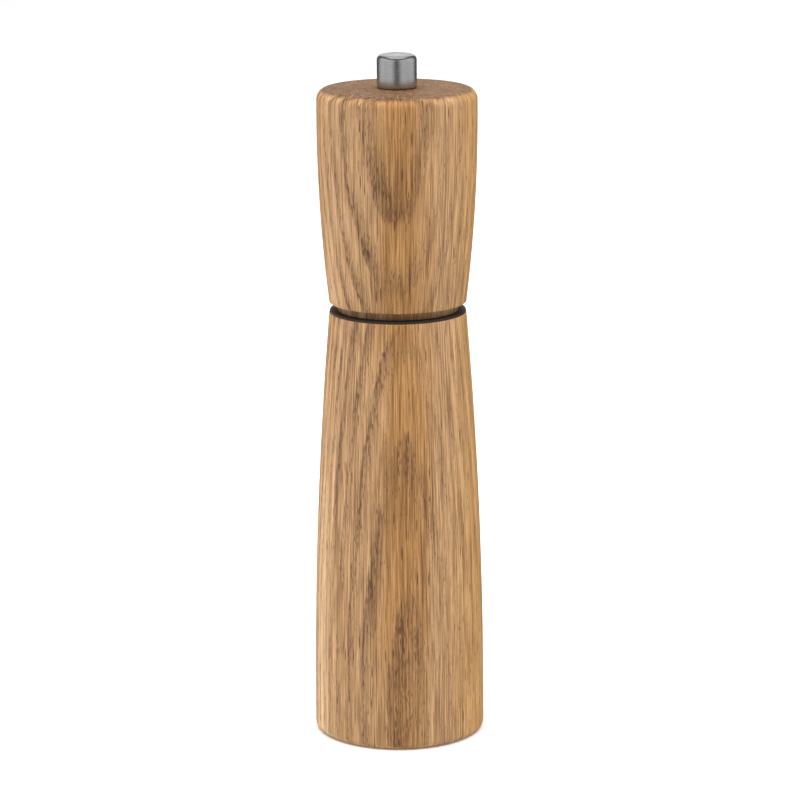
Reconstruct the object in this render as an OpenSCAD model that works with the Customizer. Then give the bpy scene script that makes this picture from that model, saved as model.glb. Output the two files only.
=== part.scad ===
// Pepper mill: a turned oak body and head, a steel knob that sets the grind,
// and a ceramic cone grinder on a square spindle. Millimetres, +Z up.
// The origin is the centre of the face that the mill stands on.

/* [Body] */
// Height of the wooden body
body_h = 150.5; // [130:0.5:200]
// Diameter at the widest place, just above the foot
base_d = 59.7; // [50:0.1:80]
// Diameter where the body and the head meet
waist_d = 47.6; // [40:0.1:57]
// Height of the widest place above the foot
belly_z = 8; // [4:0.5:12]
// Radius of the rounded foot edge
foot_round = 2.4; // [0.5:0.1:3]
// Wood left around the mouth of the body
rim_wall = 5.2; // [3:0.1:7]
// Depth of the mouth that takes the slide ring
mouth_depth = 9; // [7:0.5:14]
// Step from the mouth in to the hopper bore
mouth_step = 2.4; // [1.5:0.1:3]

/* [Head] */
// Height of the wooden head above its groove
head_h = 74.2; // [60:0.1:100]
// Diameter at the widest place of the head
head_d = 55.3; // [50:0.1:70]
// Distance from the head's top to its widest place
head_belly = 10; // [5:0.5:15]
// Radius of the rounded top edge
head_round = 3.7; // [1:0.1:5]
// Radius of the rounded lower edge
head_foot_round = 0.4; // [0.2:0.1:2]
// Height of the groove between body and head
groove_h = 3.5; // [2:0.1:6]
// Depth of the groove
groove_inset = 2.8; // [1:0.1:3.5]
// Length of the tenon that centres the head in the body
tenon_h = 8; // [6:0.5:9]

/* [Slide ring] */
// Thickness of the ring's flange on the body's top face
ring_flange = 0.7; // [0.4:0.1:1.5]
// Wall of the ring's skirt
ring_wall = 1; // [0.8:0.1:1.5]
// Wood that shows outside the flange
ring_lip = 0.2; // [0.1:0.1:1]
// Length of the ring's skirt
ring_skirt = 8; // [5:0.5:8.5]

/* [Knob] */
// Height of the knob
knob_h = 11.6; // [9.5:0.1:16]
// Diameter of the knob
knob_d = 13.7; // [11.4:0.1:20]
// Radius of the knob's top edge
knob_round = 2; // [0.5:0.1:2.5]
// Rise of the knob's slightly domed top
knob_dome = 0.3; // [0:0.1:0.6]
// Metal left over the threaded insert
knob_crown = 1.8; // [1.2:0.1:2.5]
// Wall of the threaded insert
insert_wall = 1.5; // [1:0.1:2]
// Thickness of the friction washer under the knob
washer_t = 0.6; // [0.4:0.1:1]
// Metal around the recess for the friction washer
knob_lip = 0.9; // [0.6:0.1:1.5]

/* [Spindle] */
// Width of the square spindle
spindle_w = 6; // [5:0.1:8]
// Diameter of the threads at both ends
thread_d = 5; // [4:0.1:6]
// Length of the upper thread below the head's top face
thread_in_head = 10; // [6:0.5:20]
// Thread pitch: travel of the spindle for one turn of the knob
thread_pitch = 0.8; // [0.5:0.1:1]
// Turns of the knob from the middle setting to either end
setting_turns = 1.5; // [1:0.5:2]

/* [Grinder] */
// Empty height under the grinder's cover
cover_recess = 5; // [4:0.5:8]
// Thickness of the cover
cover_t = 2; // [1.5:0.1:3]
// Thickness of the housing's flange
flange_t = 2; // [1.5:0.1:3]
// Width of the flange outside the housing's barrel
flange_w = 5.2; // [5:0.1:6]
// Wood shoulder that holds the bridge down
shoulder_w = 1.4; // [1:0.1:2]
// Wall of the housing
housing_wall = 1.6; // [1.2:0.1:2]
// Height of the ceramic ring
stator_h = 18; // [14:0.5:24]
// Ceramic wall at the ring's lower edge
stator_wall_low = 1.9; // [1.5:0.1:2.5]
// Ceramic wall at the ring's throat
stator_wall_throat = 3.7; // [3:0.1:5]
// Ceramic wall at the ring's upper edge
stator_wall_top = 1.3; // [1:0.1:2]
// Height of the fine grinding zone
fine_h = 8; // [6:0.5:10]
// Gap between the burrs at the middle setting
burr_gap = 0.4; // [0.35:0.05:1]
// Ceramic around the rotor's hub at its upper end
rotor_wall_top = 1.4; // [1:0.1:2]
// Fine teeth on each burr
fine_teeth = 30; // [20:1:36]
// Breaking flutes on each burr
flute_count = 6; // [4:1:8]
// Thickness of the bridge that carries the bearing
bridge_t = 1.5; // [1:0.1:2.5]
// Width of the bridge
bridge_w = 9; // [8:0.5:12]

/* [Bearing and spring] */
// Wall of the bearing sleeve over the spindle's corners
sleeve_wall = 0.7; // [0.5:0.1:1.2]
// Wall of the bush
bush_wall = 1.5; // [1:0.1:2]
// Thickness of the flanges of the sleeve and the bush
collar_t = 1.2; // [0.8:0.1:2]
// Width of the flanges of the sleeve and the bush
collar_w = 1.6; // [1:0.1:2]
// Length of the spring at the middle setting
spring_len = 10.7; // [9:0.1:16]
// Wire of the spring
spring_wire = 1; // [0.8:0.05:1.1]
// Turns of the spring
spring_turns = 5; // [4:0.5:5.5]

/* [Fasteners] */
// Thickness of the spindle nut
nut_t = 2.7; // [2:0.1:3]
// Width across the flats of the spindle nut
nut_w = 8; // [7:0.1:10]
// Thickness of the plain washer over the nut
flat_washer_t = 0.8; // [0.5:0.1:1.2]
// Shank diameter of the wood screws
screw_d = 2.9; // [2.5:0.1:3.1]
// Length of the wood screws
screw_len = 14; // [10:0.5:20]
// Screws that hold the grinder, and screws that hold the drive plate
screw_count = 3; // [3:1:4]
// Thickness of the drive plate
plate_t = 1.5; // [1.2:0.1:2.5]
// Height of the square collar on the drive plate
plate_collar = 5; // [3:0.5:8]

/* [Fit] */
// Radial gap of a turning fit
turning = 0.05; // [0.03:0.01:0.1]
// Radial gap of a loose fit
loose = 0.1; // [0.05:0.01:0.2]
// Gap between faces that pass each other
running = 0.1; // [0.05:0.01:0.2]

/* [Hidden] */
OAK = "#B98F61";
STEEL = "#A9A9AB";
BLACK = "#2A2725";
CERAMIC = "#EFEBE2";
BRASS = "#C4A24E";
NYLON = "#DAD6CC";

ROUND_FN = 96;
BAND_STEPS = 24;
CORNER_STEPS = 8;
FACE_GAP = 0.05;
BREAK_EDGE = 0.3;

// Radii of the turned wood, and of the bores that follow from its walls
base_r = base_d / 2;
waist_r = waist_d / 2;
head_r_max = head_d / 2;
mouth_r = waist_r - rim_wall;
hopper_r = mouth_r - mouth_step;
ring_inner_r = mouth_r - ring_wall;
ring_outer_r = waist_r - ring_lip;
tenon_r = ring_inner_r - 2 * loose;
neck_r = waist_r - groove_inset;
housing_r = hopper_r + shoulder_w;
grinder_bore_r = housing_r + loose;
flange_r = housing_r + flange_w;
counterbore_r = flange_r + 2 * loose;

// The stack of the grinder, from the foot upwards
travel = setting_turns * thread_pitch;
cover_z = cover_recess;
flange_z = cover_z + cover_t;
seat_z = flange_z + flange_t;
stator_z = flange_z;
stator_top_z = stator_z + stator_h;
ledge_t = 1.6;
ledge_w = 1.1;
rotor_z = stator_z + 0.3;
rotor_top_z = stator_top_z + 0.3;
hub_flange_t = 1.4;
hub_z = rotor_z - hub_flange_t;
hub_collar_t = 1.5;
hub_top_z = rotor_top_z + hub_collar_t;
hub_overlap = 0.5;
flat_washer_z = hub_z - flat_washer_t;
nut_z = flat_washer_z - nut_t;
spindle_z = nut_z - BREAK_EDGE;
sleeve_z = rotor_top_z + spring_len;
bush_z = sleeve_z + collar_t;
bridge_z = bush_z + collar_t;
shoulder_z = bridge_z + bridge_t;
sleeve_top_z = shoulder_z + 2.5;
clip_t = 0.6;
clip_z = sleeve_top_z + travel + running;

// Radii around the spindle
spindle_corner_r = spindle_w / sqrt(2);
thread_r = thread_d / 2;
spindle_hole = spindle_w + 2 * loose;
sleeve_r = spindle_hole / sqrt(2) + sleeve_wall;
bush_inner_r = sleeve_r + turning;
bush_r = bush_inner_r + bush_wall;
sleeve_flange_r = sleeve_r + collar_w;
bush_flange_r = bush_r + collar_w;
hub_flat = spindle_hole / 2 + 1.7;
hub_corner_r = hub_flat / cos(30);
hub_flange_r = hub_corner_r + 2.2;
spring_r = hub_flat + loose + spring_wire / 2;
head_bore_r = spindle_corner_r + 3 * loose;
clip_groove_r = spindle_w / 2 + 0.4;

// The ceramic ring, and the rotor that follows it at the burr gap
stator_r = housing_r - housing_wall - loose;
stator_low_r = stator_r - stator_wall_low;
throat_r = stator_r - stator_wall_throat;
stator_mouth_r = stator_r - stator_wall_top;
throat_z = stator_z + fine_h;
rotor_low_r = stator_low_r - burr_gap;
rotor_throat_r = throat_r - burr_gap;
rotor_top_r = hub_corner_r + rotor_wall_top;
cover_hole_r = stator_low_r + 0.6;

// The neck, the tenon and the head
ring_top_z = body_h + ring_flange;
neck_z = ring_top_z + running;
head_z = body_h + groove_h;
head_top_z = head_z + head_h;
head_belly_z = head_top_z - head_belly;
tenon_z = neck_z - tenon_h;
plate_r = tenon_r - 3.4;
plate_collar_r = spindle_hole / sqrt(2) + 1.6;
plate_top_z = tenon_z + plate_t;
ferrule_r = head_bore_r + 0.5;
ferrule_flange_r = ferrule_r + 0.9;
ferrule_flange_t = 0.8;
ferrule_h = thread_in_head;
ferrule_hole_r = thread_r + 2.5 * loose;

// The knob stands on its washer, a little clear of the wood
knob_r = knob_d / 2;
knob_washer_z = head_top_z + FACE_GAP;
knob_z = head_top_z + 0.2;
washer_recess_z = knob_washer_z + washer_t + FACE_GAP;
washer_r = knob_r - knob_lip - loose;
insert_r = thread_r + insert_wall;
knob_top_z = knob_z + knob_h;
insert_top_z = knob_top_z - knob_crown - travel;
spindle_top_z = insert_top_z - BREAK_EDGE;
thread_z = head_top_z - thread_in_head - travel - running;

// Screws
screw_r = screw_d / 2;
screw_head_r = screw_r * 1.8;
screw_head_t = screw_head_r - screw_r;
screw_circle_r = housing_r + flange_w * 0.57;
plate_screw_circle_r = (plate_r + plate_collar_r) / 2;
screw_turn = 30;

// Points along an arc, from angle a0 to angle a1
function arc(cx, cy, r, a0, a1, steps = CORNER_STEPS) =
    [for (i = [0:steps]) let (a = a0 + (a1 - a0) * i / steps) [cx + r * cos(a), cy + r * sin(a)]];

// Radius of a bowed side that is r_belly at z_belly and r_end at z_end
function bowed(z, r_belly, z_belly, r_end, z_end) =
    r_belly - (r_belly - r_end) * pow((z - z_belly) / (z_end - z_belly), 2);
function body_r(z) = bowed(z, base_r, belly_z, waist_r, body_h);
function head_r(z) = bowed(z, head_r_max, head_belly_z, waist_r, head_z);

// Points up a bowed side between two heights
function side(z0, z1, body) =
    [for (i = [0:BAND_STEPS]) let (z = z0 + (z1 - z0) * i / BAND_STEPS) [body ? body_r(z) : head_r(z), z]];

// A closed ring of rectangular section
function ring_section(r0, r1, z0, z1) = [[r0, z0], [r1, z0], [r1, z1], [r0, z1]];

module turned(points) {
    rotate_extrude($fn = ROUND_FN) polygon(points);
}

module around(count, radius, turn = 0) {
    for (i = [0:count - 1])
        rotate([0, 0, turn + 360 * i / count]) translate([radius, 0, 0]) children();
}

module square_hole(side, z0, z1) {
    translate([-side / 2, -side / 2, z0]) cube([side, side, z1 - z0]);
}

// A countersunk wood screw with a cross recess, its head down at z = 0 and its point up
module wood_screw(length) {
    slot_w = screw_r * 0.45;
    slot_l = screw_head_r * 1.2;
    slot_h = screw_head_t * 0.9;
    difference() {
        turned([
            [0, 0], [screw_head_r - 0.1, 0], [screw_head_r, 0.1], [screw_r, screw_head_t + 0.1],
            [screw_r, length - 2 * screw_r], [0, length]
        ]);
        for (turn = [0, 90])
            rotate([0, 0, turn])
                translate([-slot_l / 2, -slot_w / 2, -1]) cube([slot_l, slot_w, 1 + slot_h]);
    }
}

// The hole for a wood screw: its countersink, its shank and its point
module screw_hole(length, gap) {
    turned([
        [0, -1], [screw_head_r + gap, -1], [screw_head_r + gap, 0.1],
        [screw_r + gap, screw_head_t + 0.1], [screw_r + gap, length - 2 * screw_r],
        [0, length + gap]
    ]);
}

module body() {
    foot_r = body_r(foot_round);
    color(OAK) difference() {
        turned(concat(
            [[counterbore_r, 0]],
            arc(foot_r - foot_round, foot_round, foot_round, -90, 0),
            side(foot_round + 1, body_h - BREAK_EDGE, true),
            [
                [waist_r - BREAK_EDGE, body_h], [mouth_r, body_h], [mouth_r, body_h - mouth_depth],
                [hopper_r, body_h - mouth_depth], [hopper_r, shoulder_z],
                [grinder_bore_r, shoulder_z], [grinder_bore_r, seat_z], [counterbore_r, seat_z]
            ]
        ));
        around(screw_count, screw_circle_r, screw_turn)
            translate([0, 0, cover_z]) screw_hole(screw_len, FACE_GAP);
    }
}

module slide_ring() {
    color(BLACK) turned([
        [ring_inner_r, body_h - ring_skirt], [mouth_r, body_h - ring_skirt], [mouth_r, body_h],
        [ring_outer_r, body_h], [ring_outer_r, ring_top_z], [ring_inner_r + BREAK_EDGE, ring_top_z],
        [ring_inner_r, ring_top_z - BREAK_EDGE]
    ]);
}

module grinder_housing() {
    inner_r = housing_r - housing_wall;
    ledge_r = inner_r - ledge_w;
    notch = bridge_w + 2 * loose;
    color(BLACK) difference() {
        turned([
            [inner_r, flange_z], [flange_r, flange_z], [flange_r, seat_z], [housing_r, seat_z],
            [housing_r, shoulder_z], [inner_r, shoulder_z], [inner_r, stator_top_z + 3 * ledge_t],
            [ledge_r, stator_top_z + 2 * ledge_t], [ledge_r, stator_top_z], [inner_r, stator_top_z]
        ]);
        translate([-housing_r - 1, -notch / 2, bridge_z])
            cube([2 * housing_r + 2, notch, bridge_t + 1]);
        around(screw_count, screw_circle_r, screw_turn)
            translate([0, 0, cover_z]) screw_hole(screw_len, FACE_GAP);
    }
}

// A long V-shaped cut along a cone's side, from [r0, z0] to [r1, z1], twisted by lead degrees
module tooth_cut(r0, z0, r1, z1, width, lead) {
    length = norm([r1 - r0, z1 - z0]);
    lean = atan2(r1 - r0, z1 - z0);
    translate([(r0 + r1) / 2, 0, (z0 + z1) / 2])
        rotate([0, lean, 0]) rotate([lead, 0, 0]) rotate([0, 0, 45])
            cube([width, width, length * 1.3], center = true);
}

module stator() {
    color(CERAMIC) difference() {
        turned([
            [stator_low_r, stator_z], [stator_r, stator_z], [stator_r, stator_top_z],
            [stator_mouth_r, stator_top_z], [throat_r, throat_z]
        ]);
        around(fine_teeth, 0)
            tooth_cut(stator_low_r, stator_z, throat_r, throat_z, 0.7, 18);
        around(flute_count, 0)
            tooth_cut(throat_r, throat_z + 2, stator_mouth_r, stator_top_z, 1.5, -24);
    }
}

module bottom_cover() {
    color(BLACK) difference() {
        turned([
            [cover_hole_r + 1.2, cover_z], [flange_r - 0.6, cover_z], [flange_r, cover_z + 0.6],
            [flange_r, flange_z], [cover_hole_r, flange_z], [cover_hole_r, flange_z - 0.8]
        ]);
        around(screw_count, screw_circle_r, screw_turn)
            translate([0, 0, cover_z]) screw_hole(screw_len, FACE_GAP);
    }
}

module cover_screws() {
    color(STEEL) around(screw_count, screw_circle_r, screw_turn)
        translate([0, 0, cover_z]) wood_screw(screw_len);
}

module bridge() {
    color(STEEL) difference() {
        intersection() {
            translate([0, 0, bridge_z]) cylinder(r = housing_r, h = bridge_t, $fn = ROUND_FN);
            union() {
                translate([-housing_r, -bridge_w / 2, bridge_z])
                    cube([2 * housing_r, bridge_w, bridge_t]);
                translate([0, 0, bridge_z])
                    cylinder(r = bush_flange_r, h = bridge_t, $fn = ROUND_FN);
            }
        }
        translate([0, 0, bridge_z - 1])
            cylinder(r = bush_r, h = bridge_t + 2, $fn = ROUND_FN);
    }
}

module bearing_bush() {
    color(NYLON) turned([
        [bush_inner_r, bush_z], [bush_flange_r, bush_z], [bush_flange_r, bridge_z],
        [bush_r, bridge_z], [bush_r, shoulder_z + 1], [bush_r - 0.4, shoulder_z + 1.4],
        [bush_inner_r, shoulder_z + 1.4]
    ]);
}

module bearing_sleeve() {
    color(BRASS) difference() {
        turned([
            [0, sleeve_z], [sleeve_flange_r, sleeve_z], [sleeve_flange_r, bush_z - FACE_GAP],
            [sleeve_r, bush_z - FACE_GAP], [sleeve_r, sleeve_top_z - BREAK_EDGE],
            [sleeve_r - BREAK_EDGE, sleeve_top_z], [0, sleeve_top_z]
        ]);
        square_hole(spindle_hole, sleeve_z - 1, sleeve_top_z + 1);
    }
}

// The spring is one tube swept along a helix whose end turns lie flat
spring_steps = 20;
spring_sides = 8;
spring_low_z = rotor_top_z + FACE_GAP + spring_wire / 2;
spring_high_z = sleeve_z - FACE_GAP - spring_wire / 2;
end_turn = 0.75;
// Share of the spring's height that is climbed after a number of turns
function climb(turns) =
    let (
        closed = spring_wire * 1.02 * end_turn / (spring_high_z - spring_low_z),
        t = turns / end_turn,
        u = (spring_turns - turns) / end_turn
    )
    t < 1 ? closed * t
    : u < 1 ? 1 - closed * u
    : closed + (1 - 2 * closed) * (turns - end_turn) / (spring_turns - 2 * end_turn);
function spring_rings() = [
    for (i = [0:spring_steps * spring_turns])
        let (
            turns = i / spring_steps,
            a = 360 * turns,
            z = spring_low_z + (spring_high_z - spring_low_z) * climb(turns)
        )
        for (k = [0:spring_sides - 1])
            let (b = 360 * k / spring_sides, r = spring_r + spring_wire / 2 * cos(b))
            [r * cos(a), r * sin(a), z + spring_wire / 2 * sin(b)]
];

module spring() {
    last = spring_steps * spring_turns;
    n = spring_sides;
    sides = [
        for (i = [0:last - 1]) for (k = [0:n - 1])
            let (a = i * n + k, b = i * n + (k + 1) % n) each [[a, a + n, b + n], [a, b + n, b]]
    ];
    ends = [[for (k = [0:n - 1]) k], [for (k = [n - 1:-1:0]) last * n + k]];
    color(STEEL) polyhedron(points = spring_rings(), faces = concat(sides, ends));
}

module spindle() {
    color(STEEL) difference() {
        union() {
            translate([-spindle_w / 2, -spindle_w / 2, hub_z])
                cube([spindle_w, spindle_w, thread_z - hub_z]);
            turned([
                [0, thread_z - 1], [thread_r, thread_z - 1], [thread_r, spindle_top_z - BREAK_EDGE],
                [thread_r - BREAK_EDGE, spindle_top_z], [0, spindle_top_z]
            ]);
            turned([
                [0, spindle_z], [thread_r - BREAK_EDGE, spindle_z], [thread_r, nut_z],
                [thread_r, hub_z + 1], [0, hub_z + 1]
            ]);
        }
        turned(ring_section(clip_groove_r, 2 * spindle_w, clip_z - running, clip_z + clip_t + running));
    }
}

module rotor() {
    bore_r = hub_corner_r + loose;
    color(CERAMIC) difference() {
        turned([
            [0, rotor_z], [rotor_low_r, rotor_z], [rotor_throat_r, throat_z],
            [rotor_top_r, rotor_top_z], [0, rotor_top_z]
        ]);
        translate([0, 0, rotor_z - 1])
            cylinder(r = bore_r, h = rotor_top_z - rotor_z + 2, $fn = 6);
        around(fine_teeth, 0)
            tooth_cut(rotor_low_r, rotor_z, rotor_throat_r, throat_z, 0.7, -18);
        around(flute_count, 0, 15)
            tooth_cut(rotor_throat_r + 0.6, throat_z + 2, rotor_top_r + 0.6, rotor_top_z, 2.2, 28);
    }
}

module rotor_hub() {
    color(BLACK) difference() {
        union() {
            turned([
                [0, hub_z], [hub_flange_r - BREAK_EDGE, hub_z], [hub_flange_r, hub_z + BREAK_EDGE],
                [hub_flange_r, rotor_z], [0, rotor_z]
            ]);
            translate([0, 0, rotor_z - hub_overlap])
                cylinder(r = hub_corner_r, h = rotor_top_z - rotor_z + hub_overlap, $fn = 6);
            translate([0, 0, rotor_top_z - hub_overlap])
                cylinder(r = hub_flat, h = hub_collar_t + hub_overlap, $fn = ROUND_FN);
        }
        square_hole(spindle_hole, hub_z - 1, hub_top_z + 1);
    }
}

module spindle_washer() {
    color(STEEL) turned(ring_section(thread_r + loose, nut_w * 0.68, flat_washer_z, hub_z));
}

module spindle_nut() {
    corner_r = nut_w / 2 / cos(30);
    color(STEEL) difference() {
        intersection() {
            translate([0, 0, nut_z]) cylinder(r = corner_r, h = nut_t, $fn = 6);
            turned([
                [0, nut_z], [nut_w / 2, nut_z], [corner_r + 0.1, nut_z + 0.4],
                [corner_r + 0.1, nut_z + nut_t], [0, nut_z + nut_t]
            ]);
        }
        translate([0, 0, nut_z - 1])
            cylinder(r = thread_r + turning, h = nut_t + 2, $fn = ROUND_FN);
    }
}

// A spring clip in the groove that crosses the spindle's corners
module spindle_clip() {
    outer_r = spindle_corner_r + 1.3;
    inner_r = clip_groove_r + turning;
    opening = spindle_w * 0.9;
    color(STEEL) difference() {
        turned(ring_section(inner_r, outer_r, clip_z, clip_z + clip_t));
        translate([inner_r * 0.5, -opening / 2, clip_z - 1]) cube([outer_r, opening, clip_t + 2]);
    }
}

module head() {
    foot_z = head_z + head_foot_round;
    brow_z = head_top_z - head_round;
    color(OAK) difference() {
        turned(concat(
            [
                [plate_r + loose, tenon_z], [tenon_r - BREAK_EDGE, tenon_z],
                [tenon_r, tenon_z + BREAK_EDGE], [tenon_r, neck_z], [neck_r, neck_z],
                [neck_r, head_z]
            ],
            arc(head_r(foot_z) - head_foot_round, foot_z, head_foot_round, -90, 0),
            side(foot_z + 0.5, brow_z - 0.5, false),
            arc(head_r(brow_z) - head_round, brow_z, head_round, 0, 90),
            [
                [ferrule_flange_r, head_top_z], [ferrule_flange_r, head_top_z - ferrule_flange_t],
                [ferrule_r, head_top_z - ferrule_flange_t], [ferrule_r, head_top_z - ferrule_h],
                [head_bore_r, head_top_z - ferrule_h], [head_bore_r, plate_top_z + plate_collar],
                [plate_collar_r + loose, plate_top_z + plate_collar],
                [plate_collar_r + loose, plate_top_z], [plate_r + loose, plate_top_z]
            ]
        ));
        around(screw_count, plate_screw_circle_r, screw_turn)
            translate([0, 0, tenon_z]) screw_hole(screw_len, FACE_GAP);
    }
}

module drive_plate() {
    color(STEEL) difference() {
        turned([
            [0, tenon_z], [plate_r - BREAK_EDGE, tenon_z], [plate_r, tenon_z + BREAK_EDGE],
            [plate_r, plate_top_z], [plate_collar_r, plate_top_z],
            [plate_collar_r, plate_top_z + plate_collar - BREAK_EDGE],
            [plate_collar_r - BREAK_EDGE, plate_top_z + plate_collar], [0, plate_top_z + plate_collar]
        ]);
        square_hole(spindle_hole, tenon_z - 1, plate_top_z + plate_collar + 1);
        around(screw_count, plate_screw_circle_r, screw_turn)
            translate([0, 0, tenon_z]) screw_hole(screw_len, FACE_GAP);
    }
}

module drive_plate_screws() {
    color(STEEL) around(screw_count, plate_screw_circle_r, screw_turn)
        translate([0, 0, tenon_z]) wood_screw(screw_len);
}

module head_ferrule() {
    color(BRASS) turned([
        [ferrule_hole_r, head_top_z - ferrule_h], [ferrule_r, head_top_z - ferrule_h],
        [ferrule_r, head_top_z - ferrule_flange_t], [ferrule_flange_r, head_top_z - ferrule_flange_t],
        [ferrule_flange_r, head_top_z], [ferrule_hole_r, head_top_z]
    ]);
}

module knob_washer() {
    color(NYLON)
        turned(ring_section(thread_r + 3 * loose, washer_r, knob_washer_z, knob_washer_z + washer_t));
}

module knob() {
    recess_r = washer_r + loose;
    shoulder_top_z = knob_top_z - knob_dome;
    brow_z = shoulder_top_z - knob_round;
    crown_r = knob_r - knob_round;
    color(STEEL) turned(concat(
        [
            [recess_r, knob_z], [knob_r - BREAK_EDGE, knob_z], [knob_r, knob_z + BREAK_EDGE]
        ],
        arc(crown_r, brow_z, knob_round, 0, 90),
        [
            for (i = [1:CORNER_STEPS])
                let (r = crown_r * (1 - i / CORNER_STEPS))
                [r, knob_top_z - knob_dome * pow(r / crown_r, 2)]
        ],
        [
            [0, knob_top_z - knob_crown], [thread_r + turning, knob_top_z - knob_crown],
            [thread_r + turning, insert_top_z], [insert_r, insert_top_z],
            [insert_r, washer_recess_z], [recess_r, washer_recess_z]
        ]
    ));
}

module knob_insert() {
    color(BRASS) turned(ring_section(thread_r + turning, insert_r, washer_recess_z, insert_top_z));
}

body();
slide_ring();
grinder_housing();
stator();
bottom_cover();
cover_screws();
bridge();
bearing_bush();
bearing_sleeve();
spring();
spindle();
rotor();
rotor_hub();
spindle_washer();
spindle_nut();
spindle_clip();
head();
drive_plate();
drive_plate_screws();
head_ferrule();
knob_washer();
knob();
knob_insert();
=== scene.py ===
"""The looks of a turned oak pepper mill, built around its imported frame.

Every size is in metres and every piece stands where its part in the frame stands. The finishes are
solid: they are worked out from a point's place in the piece, in millimetres, so the grain runs
through the wood.
"""

import math

import bmesh
import bpy
from bpy.props import FloatProperty, FloatVectorProperty, IntProperty, PointerProperty
from mathutils import Matrix, Vector


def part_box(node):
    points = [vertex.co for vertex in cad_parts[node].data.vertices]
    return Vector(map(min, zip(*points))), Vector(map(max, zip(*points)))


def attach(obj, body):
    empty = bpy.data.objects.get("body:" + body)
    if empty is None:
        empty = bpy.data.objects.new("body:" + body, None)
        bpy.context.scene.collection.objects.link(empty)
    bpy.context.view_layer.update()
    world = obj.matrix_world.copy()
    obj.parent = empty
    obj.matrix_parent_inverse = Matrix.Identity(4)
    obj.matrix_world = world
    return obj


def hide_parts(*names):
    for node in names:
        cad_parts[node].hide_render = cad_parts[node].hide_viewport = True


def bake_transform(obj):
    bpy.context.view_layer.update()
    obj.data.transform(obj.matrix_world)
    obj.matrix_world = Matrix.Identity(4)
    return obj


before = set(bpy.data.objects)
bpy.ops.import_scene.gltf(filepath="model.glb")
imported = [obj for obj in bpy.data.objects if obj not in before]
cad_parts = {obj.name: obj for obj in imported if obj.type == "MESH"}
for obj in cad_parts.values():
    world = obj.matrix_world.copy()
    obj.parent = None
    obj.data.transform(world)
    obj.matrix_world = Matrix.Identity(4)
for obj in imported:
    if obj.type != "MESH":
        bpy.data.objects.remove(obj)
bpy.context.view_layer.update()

bl_info = {
    "name": "Pepper Mill",
    "version": (1, 0, 0),
    "blender": (4, 5, 0),
    "location": "View3D > Sidebar > Mill",
    "description": "Builds the pieces and finishes of a turned oak pepper mill around its frame",
    "category": "Object",
}

MM = 0.001
FULL_TURN = 2 * math.pi
SMOOTH_ANGLE = math.radians(32)
MERGE_DISTANCE = 0.002 * MM
SLIVER = 0.0005 * MM

# the profile of the screw threads: the slope of a flank, and how much of the root is flat
FLANK_SLOPE = 2.4
ROOT_WIDTH = 0.7

# fits between pieces
SMALL_GAP = 0.05 * MM
FIT_GAP = 0.1 * MM

# the burrs: how deep their teeth and flutes are, how steeply each starts, the height over which
# each moves on by one, and the height over which the teeth give way to the flutes
TOOTH_DEPTH = 0.55 * MM
TOOTH_LEAD = 9 * MM
TOOTH_STEEPNESS = 8
FLUTE_LEAD = 26 * MM
FLUTE_STEEPNESS = 10
FLUTE_CURVE = 1.5
STATOR_FLUTE = 0.9 * MM
ROTOR_FLUTE = 1.7 * MM
THROAT_BLEND = 2 * MM
BURR_ROWS = 44
BURR_SEGMENTS = 480

# the wood screws: where the first one stands, and their threads as shares of the shank
SCREW_TURN = math.radians(30)
SCREW_THREAD_DEPTH = 0.28
SCREW_THREAD_PITCH = 0.9
SCREW_TAPER = 2.2

# the spring: rings along each turn, sides of its wire, and the turns at each end that lie flat
SPRING_RINGS = 48
WIRE_SIDES = 16
FLAT_TURNS = 0.75
FLAT_RISE = 2.04

# the camera's sensor, in millimetres, and how far it sees
SENSOR_WIDTH = 36.0
FAR_CLIP = 50.0

# the tall soft lights that stand round the mill
LAMP_HEIGHT = 0.50
LAMP_TALL = 1.5
FRONT_DISTANCE = 1.45
SIDE_DISTANCE = 1.25


def top(node):
    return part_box(node)[1].z


def foot(node):
    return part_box(node)[0].z


def reach(node):
    """How far a part reaches from the axis, along X."""
    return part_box(node)[1].x


def extent(node):
    """A part's lowest height, its highest height and its reach from the axis."""
    return foot(node), top(node), reach(node)


# ---------------------------------------------------------------- sizes and colours


def number(name, description, default):
    return FloatProperty(name=name, description=description, default=default)


def whole(name, description, default):
    return IntProperty(name=name, description=description, default=default)


def length(name, description, default):
    return FloatProperty(name=name, description=description, default=default, unit="LENGTH")


def turning(name, description, degrees):
    return FloatProperty(
        name=name, description=description, default=math.radians(degrees), unit="ROTATION"
    )


def place(name, description, default):
    return FloatVectorProperty(name=name, description=description, default=default, size=2)


def colour(name, description, default):
    return FloatVectorProperty(
        name=name, description=description, default=default, subtype="COLOR", size=3, min=0, max=1
    )


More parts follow.
